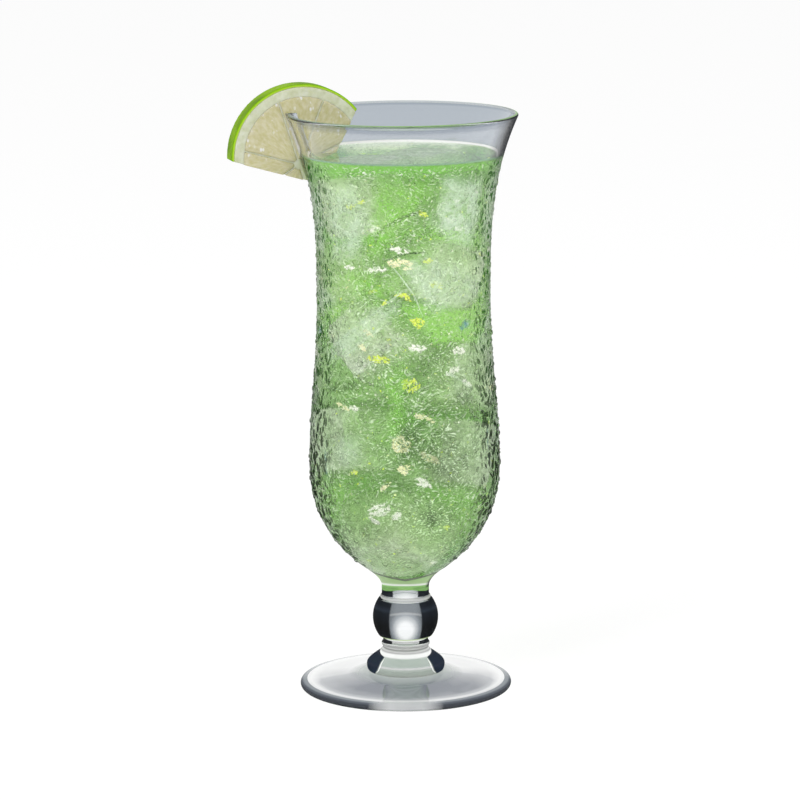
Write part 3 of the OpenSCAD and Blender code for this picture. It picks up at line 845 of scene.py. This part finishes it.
TONES = {"W": rgb(255, 255, 252), "C": rgb(255, 250, 212), "Y": rgb(232, 246, 96)}
flakes = {tone: ([], []) for tone in TONES}
# GLOW is how strongly the painted glints glow.
FLECK_T, GLOW = 0.08, 0.28
# The flecks of a glint: the least of them, how many more to a square millimetre, and how far out.
FLECKS, FLECKS_MORE, FLECKS_OUT = 8, 13, 1.4
# The front's glints and ice edges come three times round the glass: turned by, and raised by.
REPEATS = ((0, 0), (121, 3.5), (238, -4.0))
LOWEST, GLINT_HIGHEST, VEIL_HIGHEST = 50.0, 190.0, 193.0
SPECKS, BUBBLE_GLINTS = 1300, 170


def tilted(half_w, half_h, a, tilt):
    """The point at an angle on an ellipse that is tilted."""
    x, y = half_w * cos(a), half_h * sin(a)
    return x * cos(tilt) - y * sin(tilt), x * sin(tilt) + y * cos(tilt)


def flake(tone, angle, z, depth, half_w, half_h, tilt, corners=6):
    """One painted highlight, a thin bright fleck just inside the wall, facing out: a flat lens with two
    points.
    """
    verts, faces = flakes[tone]
    first = len(verts)
    r = inner_r(z) - depth
    for k in range(corners):
        reach = RNG.uniform(0.6, 1.0)
        along, up = tilted(half_w * reach, half_h * reach, tau * k / corners, tilt)
        verts.append(spun(r, angle + along / r, z + up) * MM)
    verts += [spun(r + out, angle, z) * MM for out in (-FLECK_T, FLECK_T)]
    for k in range(corners):
        j = (k + 1) % corners
        faces.append((first + k, first + j, first + corners + 1))
        faces.append((first + j, first + k, first + corners))


for turn_by, shift in REPEATS:
    for angle, z, half_w, half_h, tilt, tone in GLINTS:
        middle_z = min(max(z + shift, LOWEST), GLINT_HIGHEST)
        lean = radians(tilt)
        for _ in range(int(FLECKS + FLECKS_MORE * half_w * half_h)):
            away, b = sqrt(RNG.uniform()), RNG.uniform(0, tau)
            along, up = tilted(FLECKS_OUT * half_w * away, FLECKS_OUT * half_h * away, b, lean)
            flake(
                tone, radians(angle + turn_by) + along / inner_r(middle_z), middle_z + up,
                RNG.uniform(0.25, 0.9), RNG.uniform(0.4, 1.3), RNG.uniform(0.18, 0.5),
                lean + RNG.normal(0, 0.5),
            )
# Painted highlights: fine glints all round, and glints of bubbles just below the drink's top.
for _ in range(SPECKS):
    size = RNG.uniform(0.16, 0.36)
    flake(
        RNG.choice(["W", "C", "Y"], p=[0.45, 0.25, 0.3]), RNG.uniform(0, tau), RNG.uniform(46, 193),
        RNG.uniform(0.3, 2.5), size * RNG.uniform(1, 3), size, RNG.normal(0, 0.6), 5,
    )
for _ in range(BUBBLE_GLINTS):
    size = RNG.uniform(0.15, 0.28)
    flake("W", RNG.uniform(0, tau), RNG.uniform(180, 194.5), RNG.uniform(0.2, 1.5), size, size, 0.0)
for tone, name in (("W", "glints_white"), ("C", "glints_cream"), ("Y", "glints_yellow")):
    piece = new_piece(name, *flakes[tone])
    net = Net(name)
    piece.data.materials.append(net.finish(net.add("BsdfPrincipled", {
        "Base Color": TONES[tone], "Roughness": 0.5, "Emission Color": TONES[tone], "Emission Strength": GLOW,
    })))
    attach(piece, "glass")

# ---------------- ice edges and cloudy faces, with the dark ones painted shade
# Tone, half width (0: the points go round an area), strength, then points (angle, height).
VEILS = (
    ("dark", 0.75, 0.75, (250, 166), (253, 171), (260, 174), (270, 177), (283, 179)),
    ("dark", 0.25, 0.8, (257, 161), (266, 163), (275, 164), (285, 164)),
    ("light", 0.25, 0.8, (261, 160), (269, 155), (277, 149), (284, 140)),
    ("light", 0, 0.42, (262, 161), (284, 164), (311, 160), (345, 149), (328, 144), (303, 142), (286, 140),
     (275, 150)),
    ("light", 0.7, 0.5, (209, 126), (228, 134), (249, 142), (270, 151)),
    ("light", 0.4, 0.5, (224, 125), (248, 135), (265, 141)),
    ("green", 0, 0.6, (251, 121), (260, 124), (270, 126), (276, 121), (272, 111), (275, 104), (265, 97),
     (254, 94), (259, 109)),
    ("light", 0, 0.5, (210, 186), (239, 190), (248, 178), (242, 161), (211, 158)),
    ("light", 0, 0.68, (292, 194), (329, 190), (332, 175), (325, 163), (301, 166), (284, 175), (293, 183)),
    ("light", 0, 0.4, (248, 145), (270, 149), (268, 142), (241, 129), (210, 120), (203, 127)),
    ("light", 0.7, 0.4, (299, 121), (309, 118), (321, 113)),
    ("dark", 0, 0.3, (216, 66), (234, 71), (232, 59), (210, 55)),
    ("green", 0, 0.55, (252, 193), (291, 193), (290, 183), (271, 173), (255, 161), (242, 161), (246, 176)),
    ("green", 0, 0.55, (226, 157), (252, 159), (262, 150), (254, 143), (236, 146)),
    ("dark", 0, 0.42, (278, 72), (285, 75), (295, 72), (299, 66), (289, 63), (280, 66)),
    ("dark", 0, 0.35, (199, 113), (229, 118), (251, 118), (236, 113), (211, 111)),
    ("dark", 0, 0.4, (304, 115), (320, 116), (327, 109), (314, 106), (299, 109)),
    ("dark", 0, 0.28, (262, 108), (285, 106), (312, 100), (318, 84), (300, 78), (276, 84), (264, 94)),
    ("dark", 0, 0.3, (228, 66), (246, 72), (262, 66), (256, 56), (236, 54)),
    ("blue", 0, 0.75, (310, 137), (316, 139), (323, 138), (318, 135), (312, 135)),
    ("blue", 0.3, 0.45, (213, 97), (212, 90), (213, 84), (216, 80)),
    ("light", 0, 0.42, (222, 98), (244, 100), (246, 88), (230, 85), (218, 90)),
)
# The dark tone is painted shade: dark edges of the ice and dark patches.
VEIL_TONES = {
    "dark": rgb(58, 94, 38), "light": rgb(226, 246, 226),
    "green": rgb(158, 226, 98), "blue": rgb(84, 156, 190),
}
VEIL_T, VEIL_IN, VEIL_WAVER, VEIL_FADE = 0.04, 0.2, 0.25, 5.0
# The half width below which a ribbon's sides don't fade, its parts from point to point, where its
# sine of a taper ends, and where its rows lie across it.
THIN, RIBBON_PARTS, TAPER_END, ROWS = 0.3, 6, 0.15, (-1, -0.6, 0.6, 1)


def inset(spot, corners):
    """How far a spot is from the nearest side of a polygon."""
    best = math.inf
    for a, b in zip(corners, corners[1:] + corners[:1]):
        along, to_spot = np.subtract(b, a), np.subtract(spot, a)
        share = min(max(float(along @ to_spot) / float(along @ along), 0.0), 1.0)
        best = min(best, float(np.linalg.norm(to_spot - share * along)))
    return best


def ribbon(work, line, half_w):
    """Faces of a wavering ribbon along a line, and the strength of its corners."""
    dense = [line[0]]
    for start, end in zip(line, line[1:]):
        dense += [start + (end - start) * t / RIBBON_PARTS for t in range(1, RIBBON_PARTS + 1)]
    dense = np.array(dense)
    way = np.gradient(dense, axis=0)
    side = np.stack([-way[:, 1], way[:, 0]], 1) / np.linalg.norm(way, axis=1)[:, None]
    taper = half_w * np.sin(np.linspace(TAPER_END, pi - TAPER_END, len(dense))) ** 0.5
    rows = []
    for k in ROWS:
        waver = RNG.normal(0, VEIL_WAVER * half_w, len(dense))
        spots = [dense[i] + side[i] * (k * taper[i] + waver[i]) for i in range(len(dense))]
        rows.append([work.verts.new((*spot, 0)) for spot in spots])
    faces = [work.faces.new((low[i], low[i + 1], high[i + 1], high[i]))
             for low, high in zip(rows, rows[1:]) for i in range(len(dense) - 1)]
    return faces, dict.fromkeys(sum(rows, []) if half_w < THIN else rows[1][1:-1] + rows[2][1:-1], 1.0)


def sheet_faces(work, outline):
    """Faces of a wavering sheet inside an outline, and the strength of its corners, which fades
    to that outline."""
    faces = [work.faces.new([work.verts.new((x, y, 0)) for x, y in outline])]
    faces = bmesh.ops.triangulate(work, faces=faces)["faces"]
    for _ in range(3):
        edges = list(dict.fromkeys(e for f in faces for e in f.edges))
        made = bmesh.ops.subdivide_edges(work, edges=edges, cuts=1, use_grid_fill=True)["geom"]
        made = [f for f in made if isinstance(f, bmesh.types.BMFace)]
        faces = list(dict.fromkeys(made + [f for f in faces if f.is_valid]))
    verts = sorted({v for f in faces for v in f.verts}, key=lambda v: tuple(v.co))
    inside = [inset((v.co.x, v.co.y), outline) for v in verts]
    fade = min(VEIL_FADE, 0.8 * max(inside))
    for v in verts:
        v.co.x += RNG.normal(0, VEIL_WAVER)
        v.co.y += RNG.normal(0, VEIL_WAVER)
    return faces, {v: min(depth / fade, 1.0) for v, depth in zip(verts, inside)}


def veil(work, strength_layer, strength, half_w, points, turn_by, shift):
    """A ribbon along points on the bowl's inner wall, or a sheet inside them."""
    flat = [
        (radians(a + turn_by) * WAIST_R, min(max(z + shift, LOWEST), VEIL_HIGHEST)) for a, z in points
    ]
    faces, full = ribbon(work, np.array(flat), half_w) if half_w else sheet_faces(work, flat)
    for v in dict.fromkeys(v for f in faces for v in f.verts):
        v[strength_layer] = strength * full.get(v, 0.0)
        angle, z = v.co.x / WAIST_R, v.co.y
        r = inner_r(z) - VEIL_IN
        v.co = Vector((r * cos(angle), r * sin(angle), z)) * MM


for tone, colour in VEIL_TONES.items():
    work = bmesh.new()
    strength_layer = work.verts.layers.float.new("strength")
    for turn_by, shift in REPEATS:
        for veil_tone, half_w, strength, *points in VEILS:
            if veil_tone == tone:
                veil(work, strength_layer, strength, half_w, points, turn_by, shift)
    name = "ice_edges_" + tone
    mesh = bpy.data.meshes.new(name)
    work.to_mesh(mesh)
    work.free()
    sheet = placed(name, mesh)
    sheet.modifiers.new("thick", "SOLIDIFY").thickness = VEIL_T * MM
    applied(sheet)
    net = Net(name)
    spot = net.spot()
    grain = net.noise(spot, 900.0, 2.0, Distortion=1.0)
    clouds = net.noise(spot, 170.0, 3.0, Distortion=1.5)
    fine, broad = net.ramp(grain, [(0.35, 0.5), (0.6, 1)]), net.ramp(clouds, [(0.36, 0.3), (0.6, 1.15)])
    cover = net.times(net.add("Attribute", out="Fac", attribute_name="strength"), net.times(fine, broad))
    sheet.data.materials.append(net.finish(net.mix(cover, net.transparent(), net.diffuse(colour))))
    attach(sheet, "glass")

# ---------------- lime
LIME_R, ZEST_T = 26.0, 1.0
SEAT_R, SEAT_TURN, LIME_TURN = 40.35, radians(174), radians(15)
CENTRE_IN, CENTRE_DOWN, CORE_OUT, CORE_DOWN = 3.5, 15.7, 1.3, 2.6
VOXEL, PULP_SWELL = 0.3, 0.24
e_in = spun(1.0, LIME_TURN, 0.0)
e_up = np.array([0.0, 0.0, 1.0])
e_front = np.array([sin(LIME_TURN), -cos(LIME_TURN), 0.0])
seat = spun(SEAT_R, SEAT_TURN, GLASS_H)
lime_centre = seat + CENTRE_IN * e_in - CENTRE_DOWN * e_up
core = lime_centre - CORE_OUT * e_in - CORE_DOWN * e_up


def lime_plane(net, centre):
    """Object coordinates, the distance from a centre in the lime's plane, the angle round it and the
    distance through the lime, in millimetres."""
    spot = net.spot()
    moved = net.add("VectorMath", {0: spot, 1: tuple(centre * MM)}, operation="SUBTRACT")
    across, upward, through = (
        net.add("VectorMath", {0: moved, 1: tuple(axis / MM)}, out="Value", operation="DOT_PRODUCT")
        for axis in (e_in, e_up, e_front)
    )
    away = net.math("SQRT", net.math("ADD", net.times(across, across), net.times(upward, upward)))
    return spot, away, net.math("ARCTAN2", upward, across), through


net = Net("lime_zest_skin")
spot, away, _, _ = lime_plane(net, lime_centre)
pores = net.cells(spot, 900.0)
mottle = net.noise(spot, 120.0, 3.0)
skin = net.ramp(mottle, [(0.3, rgb(94, 136, 0)), (0.7, rgb(138, 182, 12))])
cut = net.ramp(net.math("SUBTRACT", away, LIME_R - ZEST_T), [
    (0, rgb(198, 220, 108)), (0.4, rgb(172, 212, 52)), (0.85, rgb(124, 184, 16)),
])
outer_skin = net.math("GREATER_THAN", away, LIME_R - 0.1)
colour = net.blend(outer_skin, cut, skin)
bump = net.bump(0.4, 0.0003, pores)
zest_material = net.finish(net.add("BsdfPrincipled", {
    "Base Color": colour, "Roughness": 0.6, "Specular IOR Level": 0.08, "Normal": bump,
}))

net = Net("lime_pith_soft")
spot = net.spot()
fuzz = net.noise(spot, 500.0, 3.0)
colour = net.ramp(fuzz, [(0.3, rgb(194, 198, 164)), (0.7, rgb(216, 219, 198))])
bump = net.bump(0.3, 0.0003, fuzz)
pith_material = net.finish(net.add("BsdfPrincipled", {
    "Base Color": colour, "Roughness": 0.6, "Normal": bump,
    "Subsurface Weight": 0.3, "Subsurface Radius": (0.002, 0.002, 0.001), "Subsurface Scale": 1.0,
}))

net = Net("lime_pulp_wet")
spot, away, angle, through = lime_plane(net, core)
rays = net.add("CombineXYZ", {0: net.times(angle, 7.0), 1: net.times(away, 0.22), 2: net.times(through, 0.5)})
vesicle = net.cells(rays, 1.0)
streak = net.noise(rays, 2.5, 3.0)
colour = net.ramp(streak, [(0.3, rgb(206, 199, 144)), (0.7, rgb(228, 222, 186))])
cells = net.cells(net.scaled(spot, (620.0, 620.0, 380.0)), 1.0)
where = net.noise(spot, 260.0, 1.0)
outer_ends = net.steps(away, 0.0, LIME_R, [(9, 0), (13, 1), (21, 1)])
grains, patches = net.ramp(cells, [(0.2, 0.85), (0.34, 0)]), net.ramp(where, [(0.46, 0), (0.54, 1)])
sparkle = net.times(grains, patches)
colour = net.blend(net.times(sparkle, outer_ends), colour, WHITE)
bump = net.bump(0.35, 0.0005, vesicle)
pulp_material = net.finish(net.add("BsdfPrincipled", {
    "Base Color": colour, "Roughness": 0.16, "Transmission Weight": 0.25, "Normal": bump, "Coat Weight": 0.4,
    "Subsurface Weight": 0.4, "Subsurface Radius": (0.003, 0.003, 0.0015), "Subsurface Scale": 1.0,
}))


def remeshed(node, name, swell):
    """A close mesh of a CAD node's shape, swollen a little where that is asked for."""
    piece = placed(name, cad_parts[node].data.copy())
    change = piece.modifiers.new("remesh", "REMESH")
    change.mode, change.voxel_size = "VOXEL", VOXEL * MM
    change.use_smooth_shade = True
    if swell:
        change = piece.modifiers.new("swell", "DISPLACE")
        change.strength, change.mid_level = swell * MM, 0.0
    applied(piece).data.shade_smooth()
    piece.data.materials.clear()
    return piece


# Node, slot, material, and how far the piece swells.
lime_looks = [("lime_zest", "lime_zest", zest_material, 0.0), ("lime_pith", "lime_pith", pith_material, 0.0)]
lime_looks += [(f"lime_segment_{k}", "lime_pulp", pulp_material, PULP_SWELL) for k in range(1, 7)]
for node, slot, mat, swell in lime_looks:
    piece = remeshed(node, node.replace("lime", "wedge"), swell)
    piece.data.materials.append(mat)
    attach(piece, "lime")
    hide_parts(node)

# ---------------- floor, light
FLOOR_HALF, FLOOR_GLOW, GLOW_SHARE = 6.0, 1.15, 0.6
SOFT_LIGHT, SEEN_LIGHT = 0.75, 1.0
SEEN = ("Camera", "Glossy", "Transmission")
floor_mesh = bpy.data.meshes.new("floor")
corners = [(x * FLOOR_HALF, y * FLOOR_HALF, 0) for x, y in ((-1, -1), (1, -1), (1, 1), (-1, 1))]
floor_mesh.from_pydata(corners, [], [(0, 1, 2, 3)])
floor = placed("floor", floor_mesh)
net = Net("floor_pale")
glow = net.add("Emission", {"Color": WHITE, "Strength": FLOOR_GLOW})
floor.data.materials.append(net.finish(
    net.mix(net.times(net.rays(*SEEN), GLOW_SHARE), net.diffuse(grey(0.9)), glow)
))

net = Net("studio", world=True)
soft, back = (net.add("Background", {"Color": WHITE, "Strength": v}) for v in (SOFT_LIGHT, SEEN_LIGHT))
bpy.context.scene.world = net.finish(net.mix(net.rays(*SEEN), soft, back))

# Places, sizes and the point that the lamps face are in metres, powers in watts.
LAMP_TARGET = (0, 0, 0.12)
for name, place, size, power in (
    ("key", (-1.1, -1.3, 1.5), 0.9, 14.0),
    ("fill", (1.4, -0.6, 0.9), 1.0, 6.0),
):
    data = bpy.data.lights.new(name, "AREA")
    data.shape, data.size, data.energy = "SQUARE", size, power
    light = placed(name, data)
    light.location = place
    light.rotation_euler = (Vector(LAMP_TARGET) - Vector(place)).to_track_quat("-Z", "Y").to_euler()
    light.visible_transmission = light.visible_glossy = False

bpy.context.scene.view_settings.view_transform = "Standard"
BOUNCES, CLEAR_BOUNCES = 20, 32
bpy.context.scene.cycles.max_bounces = BOUNCES
bpy.context.scene.cycles.transmission_bounces = BOUNCES
bpy.context.scene.cycles.transparent_max_bounces = CLEAR_BOUNCES
